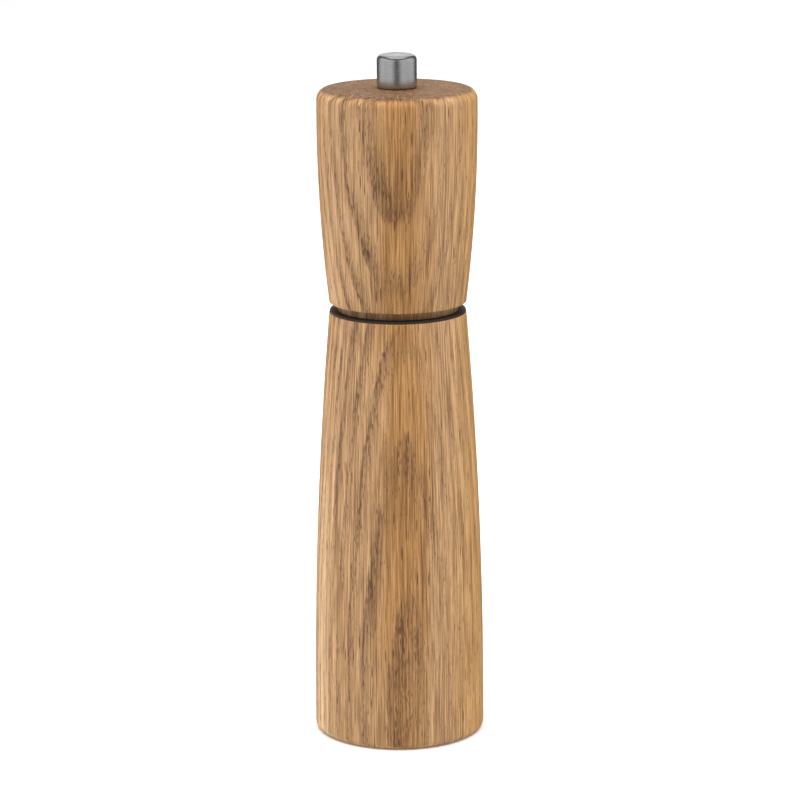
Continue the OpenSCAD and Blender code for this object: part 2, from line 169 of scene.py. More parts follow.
class MillSizes(bpy.types.PropertyGroup):
    """Walls, roundings and fits of the pieces, which the frame's boxes don't give."""

    belly_height: length("Belly height", "Height of the body's widest place", 8 * MM)
    foot_round: length("Foot rounding", "Radius of the body's lower edge", 2.4 * MM)
    rim_wall: length("Rim wall", "Wood around the body's mouth", 5.2 * MM)
    ring_lip: length("Ring lip", "Wood outside the slide ring", 0.2 * MM)
    mouth_depth: length("Mouth depth", "Depth of the body's mouth", 9 * MM)
    mouth_step: length("Mouth step", "Step from the mouth to the hopper", 2.4 * MM)
    head_belly: length("Head belly", "From the head's top to its widest place", 10 * MM)
    head_round: length("Head rounding", "Radius of the head's top edge", 3.7 * MM)
    head_foot_round: length("Head foot rounding", "Radius of the head's lower edge", 0.4 * MM)
    groove_height: length("Groove height", "From the body's top to the head's edge", 3.5 * MM)
    groove_inset: length("Groove depth", "How far the neck stands back", 2.8 * MM)
    tenon_gap: length("Tenon gap", "Gap between the tenon and the ring", 0.2 * MM)
    ring_flange: length("Ring flange", "Thickness of the slide ring's flange", 0.7 * MM)
    ring_wall: length("Ring wall", "Wall of the slide ring's skirt", 1.0 * MM)
    knob_round: length("Knob rounding", "Radius of the knob's top edge", 2.0 * MM)
    knob_dome: length("Knob dome", "Rise of the knob's top", 0.3 * MM)
    break_edge: length("Broken edge", "Rounding of small edges", 0.3 * MM)
    thread_radius: length("Thread radius", "Outside radius of the M5 threads", 2.5 * MM)
    thread_pitch: length("Thread pitch", "Rise of the threads in one turn", 0.8 * MM)
    thread_depth: length("Thread depth", "Depth of the threads", 0.43 * MM)
    square_gap: length("Square gap", "Gap between the spindle and a square hole", 0.1 * MM)
    screw_radius: length("Screw radius", "Outside radius of the wood screws", 1.45 * MM)
    screw_head: length("Screw head", "Radius of the wood screws' heads", 2.61 * MM)
    screw_count: whole("Screws", "Screws round the grinder, and round the drive plate", 3)
    housing_flange: length("Housing flange", "Thickness of the housing's flange", 2 * MM)
    cover_circle: length("Cover circle", "Radius at which the cover's screws stand", 20.564 * MM)
    plate_circle: length("Plate circle", "Radius at which the plate's screws stand", 9.992 * MM)
    bridge_width: length("Bridge width", "Width of the bar across the housing", 9 * MM)
    ferrule_lip: length("Ferrule lip", "How far the ferrule's flange stands out", 0.9 * MM)
    ferrule_flange: length("Ferrule flange", "Thickness of the ferrule's flange", 0.8 * MM)
    head_bore_gap: length("Head bore gap", "Gap from the spindle's corners to the wood", 0.3 * MM)
    plate_thickness: length("Plate thickness", "Thickness of the drive plate", 1.5 * MM)
    collar_wall: length("Collar wall", "Wall of the drive plate's collar at its corners", 1.6 * MM)
    hub_wall: length("Hub wall", "Wall of the hub on its flats", 1.7 * MM)
    hub_gap: length("Hub gap", "Gap between the hub's flats and the rotor", 0.087 * MM)
    bearing_lip: length("Bearing lip", "How far the flanges of bush and sleeve stand out", 1.6 * MM)
    foot_wall: length("Stator foot wall", "Wall of the stator at its foot", 1.9 * MM)
    throat_wall: length("Stator throat wall", "Wall of the stator at its throat", 3.7 * MM)
    mouth_wall: length("Stator mouth wall", "Wall of the stator at its mouth", 1.3 * MM)
    fine_height: length("Fine height", "Height of the burrs' finely toothed part", 8 * MM)
    burr_gap: length("Burr gap", "Gap between the burrs at the middle setting", 0.4 * MM)
    rotor_crown: length("Rotor crown", "Radius of the rotor at its top", 6.94 * MM)
    spring_wire: length("Spring wire", "Thickness of the spring's wire", 1 * MM)
    spring_turns: number("Spring turns", "Turns of the spring", 5.0)
    fine_teeth: whole("Fine teeth", "Fine teeth around each burr", 30)
    flutes: whole("Flutes", "Breaking flutes around each burr", 6)


class OakLook(bpy.types.PropertyGroup):
    """Colours and growth of the oak. The growth is in millimetres, as the grain is."""

    pale: colour("Pale wood", "Late wood in the light zones", (0.548, 0.308, 0.140))
    warm: colour("Warm wood", "Late wood in the golden zones", (0.496, 0.244, 0.080))
    early: colour("Early wood", "The porous band of each year", (0.225, 0.108, 0.046))
    pore: colour("Pores", "The dark bottoms of the pores", (0.108, 0.046, 0.021))
    ray: colour("Ray flecks", "Rays where the cut lies along them", (0.520, 0.350, 0.200))
    end: colour("End grain", "Wood cut across its grain", (0.165, 0.100, 0.064))
    gold: colour("Golden wood", "The orange strip down one side", (0.575, 0.305, 0.095))
    # painted shade: this darkens the neck as if it were shadowed in the narrow groove under the
    # head
    neck_painted_shade: number("Neck shade", "Darkening of the neck, which holds more oil", 0.50)
    body_pith: place("Body pith", "Place of the tree's middle behind the body, in mm", (-4.0, 55.0))
    body_year: number("Body year", "Width of one year's growth in the body, in mm", 2.55)
    body_start: number("Body first year", "Distance in mm from the axis to the first year", 24.1)
    head_pith: place("Head pith", "Place of the tree's middle behind the head, in mm", (1.0, 50.0))
    head_year: number("Head year", "Width of one year's growth in the head, in mm", 3.0)
    head_start: number("Head first year", "Distance in mm from the axis to the first year", 23.7)
    head_lean: number("Head lean", "Lean of the grain, in mm of growth for each mm up", 0.035)
    head_level: number("Head level", "Height at which the lean is nothing, in mm", 186.5)


class PartColours(bpy.types.PropertyGroup):
    """Colours of the parts that aren't oak."""

    knob: colour("Knob steel", "The brushed knob", (0.44, 0.435, 0.44))
    steel: colour("Bright steel", "Spindle, spring, screws and plates", (0.56, 0.56, 0.565))
    brass: colour("Brass", "Insert, ferrule and bearing sleeve", (0.66, 0.48, 0.20))
    black: colour("Black plastic", "Housing, cover and hub", (0.016, 0.013, 0.011))
    ring: colour("Ring plastic", "The dark brown slide ring", (0.030, 0.019, 0.013))
    nylon: colour("Nylon", "Bearing bush and knob washer", (0.72, 0.69, 0.61))
    ceramic: colour("Ceramic", "The two burrs", (0.80, 0.77, 0.70))


class StageLook(bpy.types.PropertyGroup):
    """Camera and lights."""

    camera_distance: length("Camera distance", "Level distance from the mill's axis", 1.1176)
    camera_height: length("Camera height", "Height above the floor", 0.3822)
    camera_tilt: turning("Camera tilt", "How far the camera looks down", 13.272)
    camera_roll: turning("Camera roll", "Roll about the line of sight", 0.256)
    camera_aside: length("Camera aside", "How far the camera stands to the right", 0.0006)
    lens: number("Lens", "Focal length on a 36 mm sensor, in mm", 147.98)
    floor_radius: length("Floor radius", "Radius of the pale floor", 9.0)
    floor_colour: colour("Floor colour", "Colour of the floor", (0.93, 0.93, 0.93))
    front_power: number("Front lights", "Power of each front light, in W", 4.6)
    side_power: number("Side lights", "Power of each side light, in W", 9.5)
    left_share: number("Left share", "Strength of the left lights", 1.06)
    right_share: number("Right share", "Strength of the right lights", 1.0)
    card_glow: number("Card glow", "Brightness of the cards the steel mirrors", 0.85)
    edge_power: number("Edge light", "Power of the strip on the left, in W", 4.5)
    edge_colour: colour("Edge colour", "Colour of the strip on the left", (1.0, 0.82, 0.58))
    back_power: number("Back light", "Power of the light behind the mill, in W", 5.5)
    top_power: number("Top light", "Power of the light above, in W", 9.0)
    glow_power: number("Floor glow", "Light thrown up by the floor, in W", 50.0)
    sky_power: number("Sky", "Even light from above, in W/m2", 2.97)
    surround: number("Surround", "Brightness of the dark studio", 0.05)
    backdrop: number("Backdrop", "Brightness of the white behind the mill", 1.0)


# ---------------------------------------------------------------- meshes


def piece_from(name, vertices, faces):
    """A new object with clean, outward faces and smooth shading between its sharp edges."""
    mesh = bpy.data.meshes.new(name)
    mesh.from_pydata(vertices, [], faces)
    return linked(name, cleaned(mesh))


def cleaned(mesh):
    """The mesh with its doubled points merged, its slivers gone and its faces turned outward."""
    work = bmesh.new()
    work.from_mesh(mesh)
    bmesh.ops.remove_doubles(work, verts=work.verts, dist=MERGE_DISTANCE)
    bmesh.ops.dissolve_degenerate(work, dist=SLIVER, edges=work.edges)
    bmesh.ops.recalc_face_normals(work, faces=work.faces)
    work.to_mesh(mesh)
    work.free()
    return mesh


def linked(name, mesh):
    piece = bpy.data.objects.new(name, mesh)
    bpy.context.scene.collection.objects.link(piece)
    return smoothed(piece)


def smoothed(piece):
    piece.data.shade_smooth()
    piece.data.set_sharp_from_angle(angle=SMOOTH_ANGLE)
    return piece


def swept(name, rows, segments=128, closed=True):
    """A solid whose rows are rings round the axis. A row is (radius, height), or a function that
    gives them for an angle. The first row and the last are joined when closed, and end on the axis
    if not."""
    vertices, faces = [], []
    for row in rows:
        for i in range(segments):
            angle = FULL_TURN * i / segments
            radius, height = row(angle) if callable(row) else row
            vertices.append((radius * math.cos(angle), radius * math.sin(angle), height))
    pairs = [(k, k + 1) for k in range(len(rows) - 1)]
    if closed:
        pairs.append((len(rows) - 1, 0))
    for a, b in pairs:
        for i in range(segments):
            j = (i + 1) % segments
            faces.append((a * segments + i, a * segments + j, b * segments + j, b * segments + i))
    return piece_from(name, vertices, faces)


def rounded(corners, steps=5):
    """The outline through corners (radius, height, rounding), with a curve at each rounded one."""
    outline = []
    count = len(corners)
    for k, (r, z, size) in enumerate(corners):
        here = Vector((r, z))
        back = Vector(corners[k - 1][:2]) - here
        on = Vector(corners[(k + 1) % count][:2]) - here
        if size <= 0 or back.length < 1e-9 or on.length < 1e-9:
            outline.append((r, z))
            continue
        bend = back.angle(on)
        reach_back = min(size / math.tan(bend / 2), 0.49 * back.length, 0.49 * on.length)
        start = here + back.normalized() * reach_back
        end = here + on.normalized() * reach_back
        for i in range(steps + 1):
            t = i / steps
            first = start.lerp(here, t)
            outline.append(tuple(first.lerp(here.lerp(end, t), t)))
    return outline


def bowed(height, belly_radius, belly_height, end_radius, end_height):
    """Radius of a bowed side that is widest at its belly."""
    share = (height - belly_height) / (end_height - belly_height)
    return belly_radius - (belly_radius - end_radius) * share**2


def stretch(start, end, steps):
    return [start + (end - start) * i / steps for i in range(steps + 1)]


def arc(centre_radius, centre_height, size, start, end, steps=12):
    """Points along an arc, from one angle in degrees to another."""
    return [
        (centre_radius + size * math.cos(a), centre_height + size * math.sin(a))
        for a in stretch(math.radians(start), math.radians(end), steps)
    ]


def polygon_row(flat, sides, height, corner=None, turn=0.0):
    """A row round a regular polygon with one flat facing turn, its corners cut back to a radius."""
    half = math.pi / sides

    def row(angle):
        off = (angle - turn + half) % (2 * half) - half
        radius = flat / math.cos(off)
        return (min(radius, corner) if corner else radius), height

    return row


def square(flat, height, corner=None):
    return polygon_row(flat, 4, height, corner)


def hexagon(flat, height, corner=None):
    return polygon_row(flat, 6, height, corner, math.pi / 6)


def thread_rows(radius, depth, pitch, start, end, steps=8):
    """Rows of a screw thread between two heights. radius may be a function of the height. The
    thread runs out over half a pitch at each end, and stands on the inner side of its radius."""

    def row_at(height):
        size = radius(height) if callable(radius) else radius
        fade = min(1.0, (height - start) / (pitch / 2), (end - height) / (pitch / 2))

        def row(angle):
            phase = (height / pitch - angle / FULL_TURN) % 1.0
            ridge = min(1.0, max(0.0, FLANK_SLOPE * abs(2 * phase - 1) - ROOT_WIDTH))
            return size - depth * (1 - ridge * max(0.0, fade)), height

        return row

    count = max(2, round((end - start) / pitch * steps))
    return [row_at(height) for height in stretch(start, end, count)]


def cross_row(arm, width, height):
    """A row that follows the outline of a cross, for the recess in a screw's head."""

    def row(angle):
        off = (angle + math.pi / 4) % (math.pi / 2) - math.pi / 4
        return min(arm, width / 2 / max(abs(math.sin(off)), 1e-4)), height

    return row


def joined(name, pieces):
    """One object made of several."""
    work = bmesh.new()
    for piece in pieces:
        mesh = piece.data.copy()
        mesh.transform(piece.matrix_world)
        work.from_mesh(mesh)
        bpy.data.meshes.remove(mesh)
        bpy.data.objects.remove(piece)
    mesh = bpy.data.meshes.new(name)
    work.to_mesh(mesh)
    work.free()
    return linked(name, mesh)


def drilled(piece, cutters):
    """The piece with the cutters taken away, and the cutters removed."""
    for cutter in cutters:
        cut = piece.modifiers.new("cut", "BOOLEAN")
        cut.operation = "DIFFERENCE"
        cut.object = cutter
        cut.solver = "EXACT"
    graph = bpy.context.evaluated_depsgraph_get()
    mesh = bpy.data.meshes.new_from_object(piece.evaluated_get(graph))
    piece.modifiers.clear()
    old, piece.data = piece.data, cleaned(mesh)
    mesh.name = old.name
    bpy.data.meshes.remove(old)
    for cutter in cutters:
        bpy.data.objects.remove(cutter)
    return smoothed(piece)


def around(piece, count, radius, turn):
    """Copies of a piece set round the axis, as one object."""
    name = piece.name
    copies = []
    for i in range(count):
        angle = turn + FULL_TURN * i / count
        copy = bpy.data.objects.new(name + "_copy", piece.data.copy())
        bpy.context.scene.collection.objects.link(copy)
        copy.matrix_world = Matrix.Rotation(angle, 4, "Z") @ Matrix.Translation((radius, 0, 0))
        copies.append(copy)
    bpy.data.objects.remove(piece)
    return joined(name, copies)


def finished(piece, body, node, material):
    """Puts a new piece in the place of a part of the frame. A blended piece rides on no body."""
    piece.data.materials.clear()
    piece.data.materials.append(material)
    if body:
        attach(piece, body)
    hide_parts(node)
    return piece


# ---------------------------------------------------------------- finishes


class Finish:
    """A new material, with short calls that add nodes to it."""

    def __init__(self, name):
        self.material = bpy.data.materials.new(name)
        self.material.use_nodes = True
        self.tree = self.material.node_tree
        self.shader = self.tree.nodes["Principled BSDF"]

    def node(self, kind, inputs=(), **settings):
        made = self.tree.nodes.new("ShaderNode" + kind)
        for key, value in settings.items():
            setattr(made, key, value)
        for key, value in dict(inputs).items():
            self.feed(made.inputs[key], value)
        return made

    def feed(self, socket, value):
        if isinstance(value, bpy.types.NodeSocket):
            self.tree.links.new(value, socket)
        else:
            socket.default_value = value

    def surface(self, **values):
        """Feeds the surface shader's sockets, named with underscores for spaces."""
        for key, value in values.items():
            self.feed(self.shader.inputs[key.replace("_", " ")], value)
        return self.material

    def math(self, operation, first, second=0.0):
        return self.node("Math", {0: first, 1: second}, operation=operation).outputs[0]

    def times(self, first, second):
        return self.math("MULTIPLY", first, second)

    def plus(self, first, second):
        return self.math("ADD", first, second)

    def minus(self, first, second):
        return self.math("SUBTRACT", first, second)

    def vector(self, operation, first, second=(0, 0, 0)):
        made = self.node("VectorMath", {0: first, 1: second}, operation=operation)
        return made.outputs["Value" if operation in ("LENGTH", "DOT_PRODUCT") else 0]

    def place(self):
        """The point's place in the piece, in millimetres."""
        coordinates = self.node("TexCoord").outputs["Object"]
        scaled = self.node("VectorMath", {0: coordinates, "Scale": 1000.0}, operation="SCALE")
        return scaled.outputs[0]

    def normal(self):
        return self.node("TexCoord").outputs["Normal"]

    def parts(self, vector):
        split = self.node("SeparateXYZ", {0: vector})
        return split.outputs[0], split.outputs[1], split.outputs[2]

    def point(self, x, y, z):
        return self.node("CombineXYZ", {0: x, 1: y, 2: z}).outputs[0]

    def moved(self, place, size, seed):
        """A place scaled to a pattern's size, and moved so that no two patterns are alike."""
        scaled = self.vector("MULTIPLY", place, tuple(1.0 / s for s in size))
        return self.vector("ADD", scaled, (seed, seed * 0.7, seed * 1.3))

    def noise(self, place, size, detail=2.0, roughness=0.5, seed=0.0):
        """Smooth noise from 0 to 1. size is the length of its features along X, Y and Z."""
        moved = self.moved(place, size, seed)
        made = self.node(
            "TexNoise", {"Vector": moved, "Scale": 1.0, "Detail": detail, "Roughness": roughness}
        )
        return made.outputs[0]

    def specks(self, place, size, seed=0.0):
        """Distance to the nearest of many scattered points, and a number of that point's own."""
        moved = self.moved(place, size, seed)
        made = self.node("TexVoronoi", {"Vector": moved, "Scale": 1.0, "Randomness": 1.0})
        own = self.node("SeparateXYZ", {0: made.outputs["Color"]}).outputs[0]
        return made.outputs["Distance"], own

    def band(self, value, low, high, start=0.0, end=1.0):
        """Eases from start to end as the value goes from low to high."""
        made = self.node(
            "MapRange",
            {"Value": value, "From Min": low, "From Max": high, "To Min": start, "To Max": end},
            interpolation_type="SMOOTHSTEP",
        )
        return made.outputs[0]

    def mix(self, share, first, second, mode="MIX"):
        """A colour between two, or a product of them. A colour is three numbers or a socket."""
        made = self.node("Mix", data_type="RGBA", blend_type=mode)
        self.feed(made.inputs["Factor"], share)
        for key, colour in (("A", first), ("B", second)):
            socket = [s for s in made.inputs if s.name == key and s.type == "RGBA"][0]
            is_socket = isinstance(colour, bpy.types.NodeSocket)
            self.feed(socket, colour if is_socket else (*colour, 1.0))
        return [s for s in made.outputs if s.type == "RGBA"][0]

    def toned(self, colour, tone, green=1.0, blue=1.0):
        """The colour times a tone. Powers for green and blue make a dark tone warmer."""
        powers = (1.0, green, blue)
        shares = [tone if n == 1.0 else self.math("POWER", tone, n) for n in powers]
        return self.mix(1.0, colour, self.point(*shares), "MULTIPLY")

    def relief(self, height, depth):
        """A bumped normal. height is from 0 to 1 and depth is in metres."""
        made = self.node("Bump", {"Strength": 1.0, "Distance": depth, "Height": height})
        return made.outputs[0]


# where the oak's golden heart lies, the radius of a side that shows its fibres at their true width,
# and how far below the head's level the painted shade on its neck is full and gone; all in
# millimetres
HEART_X = 1.5
SIDE_RADIUS = 25.0
NECK_FOOT = 36.0
NECK_BROW = 31.0


def oak_finish(name, look, pith, year, start, lean=0.0, level=0.0, seed=0.0):
    """Oiled oak. Years are cylinders round a pith behind the mill, so a turned side shows arches.
    The head's years lean, and its neck, which lies below its level, is darker with painted shade."""
    f = Finish(name)
    place = f.place()
    x, y, z = f.parts(place)

    # growth: distance from the pith, stirred a little, and counted in years
    slow = f.noise(place, (40, 40, 130), 1.0, 0.5, seed + 3.1)
    ragged = f.noise(place, (4, 4, 14), 2.0, 0.6, seed + 7.7)
    frayed = f.noise(place, (0.75, 0.75, 11), 2.0, 0.6, seed + 8.8)
    dx = f.minus(x, pith[0])
    dy = f.minus(y, pith[1])
    away = f.math("SQRT", f.plus(f.times(dx, dx), f.times(dy, dy)))
    tilt = f.times(f.minus(z, level), lean)
    stirred = f.plus(f.times(slow, 1.6), f.times(ragged, 0.7))
    stirred = f.plus(stirred, f.times(frayed, 0.55))
    grown = f.plus(f.plus(away, tilt), f.minus(stirred, 1.42))
    first_year = math.hypot(*pith) + start
    years = f.math("DIVIDE", f.minus(grown, first_year), year)
    phase = f.math("FRACT", years)
    opening = f.band(phase, 0.0, 0.11)
    closing = f.band(phase, 0.16, 0.72, 1.0, 0.0)
    faded = f.band(x, -4.0, 19.0, 1.0, 0.45)
    patches = f.band(f.noise(place, (9, 9, 45), 1.0, 0.5, seed + 13.0), 0.30, 0.60, 0.45, 1.0)
    early = f.times(f.times(opening, closing), f.times(faded, patches))
    late_edge = f.band(phase, 0.8, 1.0)

    # pores: long thin hollows along the grain, crowded in the early wood
    crowd = f.noise(place, (1.1, 1.1, 9), 2.0, 0.6, seed + 1.9)
    gap, own = f.specks(place, (0.42, 0.42, 3.6), seed + 11)
    width = f.plus(0.05, f.times(early, f.times(crowd, 0.60)))
    pores = f.band(f.minus(gap, width), 0.0, 0.16, 1.0, 0.0)
    # long fibres follow the turned side, so that its taper doesn't cut them short
    round_side = f.times(f.math("ARCTAN2", x, f.times(y, -1.0)), SIDE_RADIUS)
    outward = f.times(f.vector("LENGTH", f.point(x, y, 0.0)), 0.12)
    fibres = f.point(round_side, outward, z)
    small_gap, small_own = f.specks(fibres, (0.44, 0.44, 11.0), seed + 23)
    small = f.times(f.band(small_gap, 0.14, 0.32, 1.0, 0.0), f.band(small_own, 0.1, 0.7))

    # rays: thin sheets that run out from the pith, dark lines in front and pale flecks at the sides
    turn = f.math("ARCTAN2", dx, f.times(dy, -1.0))
    along = f.times(turn, first_year)
    ray_gap, ray_own = f.specks(f.point(along, f.times(away, 0.05), z), (1.3, 1.0, 15.0), seed + 5)
    rays = f.times(f.band(ray_gap, 0.11, 0.20, 1.0, 0.0), f.band(ray_own, 0.0, 0.5))
    nx, ny, nz = f.parts(f.normal())
    across = f.math("DIVIDE", f.plus(f.times(nx, dx), f.times(ny, dy)), away)
    flat_cut = f.band(f.math("ABSOLUTE", across), 0.25, 0.75)
    end_cut = f.band(f.math("ABSOLUTE", nz), 0.55, 0.95)

    # fibres and broad zones of colour
    fine = f.noise(fibres, (0.38, 0.38, 22), 2.0, 0.7, seed + 2.3)
    strands = f.band(f.noise(fibres, (0.48, 0.48, 48), 2.0, 0.6, seed + 6.1), 0.54, 0.59)
    broad = f.noise(place, (3.0, 3.0, 60), 2.0, 0.5, seed + 9.4)
    zones = f.times(f.noise(place, (8, 8, 70), 1.0, 0.5, seed + 4.2), 14.0)
    heart = f.band(f.plus(f.math("ABSOLUTE", f.minus(x, HEART_X)), zones), 9.0, 20.0, 1.0, 0.0)
    stipple = f.noise(place, (0.55, 0.55, 0.55), 2.0, 0.6, seed + 15.0)

    wood = f.mix(heart, look.pale, look.warm)
    wood = f.mix(f.times(f.band(x, 15.0, 27.0), 0.7), wood, look.gold)
    wood = f.mix(f.times(late_edge, 0.20), wood, look.warm)
    wood = f.mix(f.times(early, f.band(crowd, 0.25, 0.70, 0.33, 0.76)), wood, look.early)
    wood = f.mix(f.times(end_cut, 0.75), wood, look.end)
    tone = f.plus(f.band(fine, 0.30, 0.70, 0.65, 1.30), f.band(broad, 0.3, 0.7, -0.10, 0.10))
    tone = f.minus(tone, f.times(strands, 0.25))
    tone = f.times(tone, f.band(f.times(stipple, end_cut), 0.40, 0.60, 1.14, 0.50))
    wood = f.toned(wood, tone, 1.15, 1.35)
    dark_rays = f.times(f.times(rays, flat_cut), 0.78)
    pale_rays = f.times(rays, f.minus(0.45, f.times(flat_cut, 0.45)))
    wood = f.mix(dark_rays, wood, look.pore)
    wood = f.mix(pale_rays, wood, look.ray)
    wood = f.mix(f.times(small, 0.72), wood, look.early)
    wood = f.mix(f.times(pores, f.band(own, 0.0, 1.0, 0.30, 0.82)), wood, look.pore)
    # painted shade: the neck, sunk in the narrow groove under the head, is darkened as if in shadow
    if lean:
        shade = f.band(z, level - NECK_FOOT, level - NECK_BROW, look.neck_painted_shade, 1.0)
        wood = f.toned(wood, shade, 1.15, 1.3)

    hollow = f.math("MAXIMUM", pores, f.times(small, 0.35))
    height = f.minus(f.times(fine, 0.16), hollow)
    gloss = f.plus(f.band(fine, 0.2, 0.8, 0.40, 0.50), f.times(hollow, 0.25))
    gloss = f.plus(gloss, f.times(end_cut, 0.22))
    shine = f.band(end_cut, 0.0, 1.0, 0.40, 0.16)
    return f.surface(
        Base_Color=wood, Roughness=gloss, Normal=f.relief(height, 0.04 * MM),
        Coat_Weight=f.times(shine, 0.15), Coat_Roughness=0.30, IOR=1.45,
        Specular_IOR_Level=shine,
    )


def brushed_finish(name, colour):
    """Steel brushed round the axis: fine rings of scratches, drawn out along the way of turning."""
    f = Finish(name)
    place = f.place()
    x, y, z = f.parts(place)
    away = f.vector("LENGTH", f.point(x, y, 0.0))
    turn = f.math("ARCTAN2", y, x)
    rings = f.point(f.times(turn, 1.1), f.times(away, 22.0), f.times(z, 22.0))
    scratches = f.noise(rings, (1, 1, 1), 4.0, 0.7, 2.0)
    cloud = f.noise(place, (4, 4, 3), 2.0, 0.5, 5.0)
    tone = f.plus(f.band(scratches, 0.3, 0.7, 0.90, 1.05), f.band(cloud, 0.3, 0.7, -0.04, 0.03))
    metal = f.toned(colour, tone)
    rough = f.plus(0.26, f.band(scratches, 0.3, 0.7, -0.03, 0.05))
    tangent = f.node("Tangent", direction_type="RADIAL", axis="Z").outputs[0]
    return f.surface(
        Base_Color=metal, Metallic=1.0, Roughness=rough, Anisotropic=0.75, Tangent=tangent,
        Normal=f.relief(scratches, 0.0005 * MM),
    )


def drawn_finish(name, colour):
    """Bright steel bar with drawing lines along it and faint handling marks."""
    f = Finish(name)
    place = f.place()
    lines = f.noise(place, (0.25, 0.25, 30), 3.0, 0.6, 1.0)
    marks = f.noise(place, (2.5, 2.5, 4.0), 3.0, 0.6, 8.0)
    tone = f.plus(f.band(lines, 0.3, 0.7, 0.85, 1.05), f.band(marks, 0.3, 0.7, -0.05, 0.03))
    metal = f.toned(colour, tone)
    rough = f.plus(0.30, f.band(marks, 0.3, 0.7, -0.06, 0.12))
    return f.surface(
        Base_Color=metal, Metallic=1.0, Roughness=rough, Normal=f.relief(lines, 0.004 * MM)
    )


def turned_finish(name, colour):
    """Metal straight from the lathe: fine even rings."""
    f = Finish(name)
    place = f.place()
    x, y, z = f.parts(place)
    away = f.vector("LENGTH", f.point(x, y, 0.0))
    feed = f.math("SINE", f.times(f.plus(z, away), 60.0))
    wander = f.noise(place, (1.5, 1.5, 0.4), 3.0, 0.6, 6.0)
    tone = f.plus(f.band(wander, 0.3, 0.7, 0.88, 1.06), f.times(feed, 0.03))
    metal = f.toned(colour, tone)
    rough = f.plus(0.24, f.band(wander, 0.3, 0.7, -0.04, 0.14))
    return f.surface(
        Base_Color=metal, Metallic=1.0, Roughness=rough, Normal=f.relief(feed, 0.004 * MM)
    )


def moulded_finish(name, colour, shine=0.42, texture=0.012):
    """Moulded plastic: a fine spark texture over slow flow marks."""
    f = Finish(name)
    place = f.place()
    spark = f.noise(place, (0.22, 0.22, 0.22), 2.0, 0.6, 1.0)
    flow = f.noise(place, (6, 6, 9), 2.0, 0.5, 4.0)
    tone = f.plus(f.band(flow, 0.3, 0.7, 0.85, 1.12), f.band(spark, 0.3, 0.7, -0.08, 0.08))
    plastic = f.toned(colour, tone)
    rough = f.plus(shine, f.band(spark, 0.3, 0.7, -0.06, 0.10))
    return f.surface(
        Base_Color=plastic, Roughness=rough, Normal=f.relief(spark, texture * MM)
    )


def ceramic_finish(name, colour):
    """Fired ceramic: a close grain, faint clouds and scattered specks."""
    f = Finish(name)
    place = f.place()
    grain = f.noise(place, (0.3, 0.3, 0.3), 3.0, 0.7, 1.0)
    cloud = f.noise(place, (3, 3, 3), 2.0, 0.5, 6.0)
    gap, own = f.specks(place, (1.3, 1.3, 1.3), 9.0)
    speck = f.times(f.band(gap, 0.05, 0.12, 1.0, 0.0), f.band(own, 0.5, 1.0))
    tone = f.plus(f.band(grain, 0.3, 0.7, 0.93, 1.03), f.band(cloud, 0.3, 0.7, -0.04, 0.02))
    body = f.toned(colour, tone)
    body = f.mix(f.times(speck, 0.5), body, (0.30, 0.24, 0.17))
    rough = f.band(grain, 0.3, 0.7, 0.38, 0.58)
    return f.surface(Base_Color=body, Roughness=rough, Normal=f.relief(grain, 0.012 * MM))


FINISHES = {
    "brushed_knob": (brushed_finish, "knob"),
    "bright_steel": (drawn_finish, "steel"),
    "turned_brass": (turned_finish, "brass"),
    "black_plastic": (moulded_finish, "black"),
    "ring_plastic": (moulded_finish, "ring", 0.58),
    "pale_nylon": (moulded_finish, "nylon", 0.38, 0.006),
    "white_ceramic": (ceramic_finish, "ceramic"),
}


def finish(name):
    """The material of that name, made the first time it is asked for."""
    maker, colour, *values = FINISHES[name]
    colours = bpy.context.scene.mill_colours
    return bpy.data.materials.get(name) or maker(name, getattr(colours, colour), *values)


# ---------------------------------------------------------------- pieces


def square_hole(sizes):
    """Half the width of the square holes that the spindle passes."""
    return reach("spindle") + sizes.square_gap


def hub_flat(sizes):
    """Half the width of the hub across its flats."""
    return square_hole(sizes) + sizes.hub_wall


def collar_radius(sizes):
    """Radius of the collar on the drive plate."""
    return square_hole(sizes) * math.sqrt(2) + sizes.collar_wall


class MILL_OT_oak_body(bpy.types.Operator):
    """Turn the oak body, with its bores, rim and rounded foot"""

    bl_idname = "mill.oak_body"
    bl_label = "Oak Body"

    def execute(self, context):
        sizes, look = context.scene.mill_sizes, context.scene.mill_oak
        height = top("body")
        belly = reach("body")
        waist = reach("slide_ring") + sizes.ring_lip
        mouth = waist - sizes.rim_wall
        hopper = mouth - sizes.mouth_step
        shoulder = top("bridge")
        grinder = reach("bridge") + 1.5 * FIT_GAP
        seat = foot("grinder_housing") + sizes.housing_flange
        recess = reach("bottom_cover") + 2 * FIT_GAP
        edge = sizes.break_edge

        def side(z):
            return bowed(z, belly, sizes.belly_height, waist, height)

        foot_radius = side(sizes.foot_round) - sizes.foot_round
        outline = [(recess + edge, 0.0)]
        outline += arc(foot_radius, sizes.foot_round, sizes.foot_round, -90, 0)
        heights = stretch(sizes.foot_round + 1 * MM, height - 1.5 * edge, 72)
        outline += [(side(z), z) for z in heights]
        floor = height - sizes.mouth_depth
        outline += rounded(
            [
                (waist, height - 2 * edge, 0), (waist, height, edge), (mouth, height, edge),
                (mouth, floor, edge / 2), (hopper, floor, edge), (hopper, shoulder, edge / 2),
                (grinder, shoulder, 0), (grinder, seat, 0), (recess, seat, 0), (recess, edge, 0),
            ]
        )[1:]
        piece = swept("oak_body", outline, 256)
        oak = oak_finish("oak_body", look, look.body_pith, look.body_year, look.body_start)
        finished(piece, "base", "body", oak)
        return {"FINISHED"}


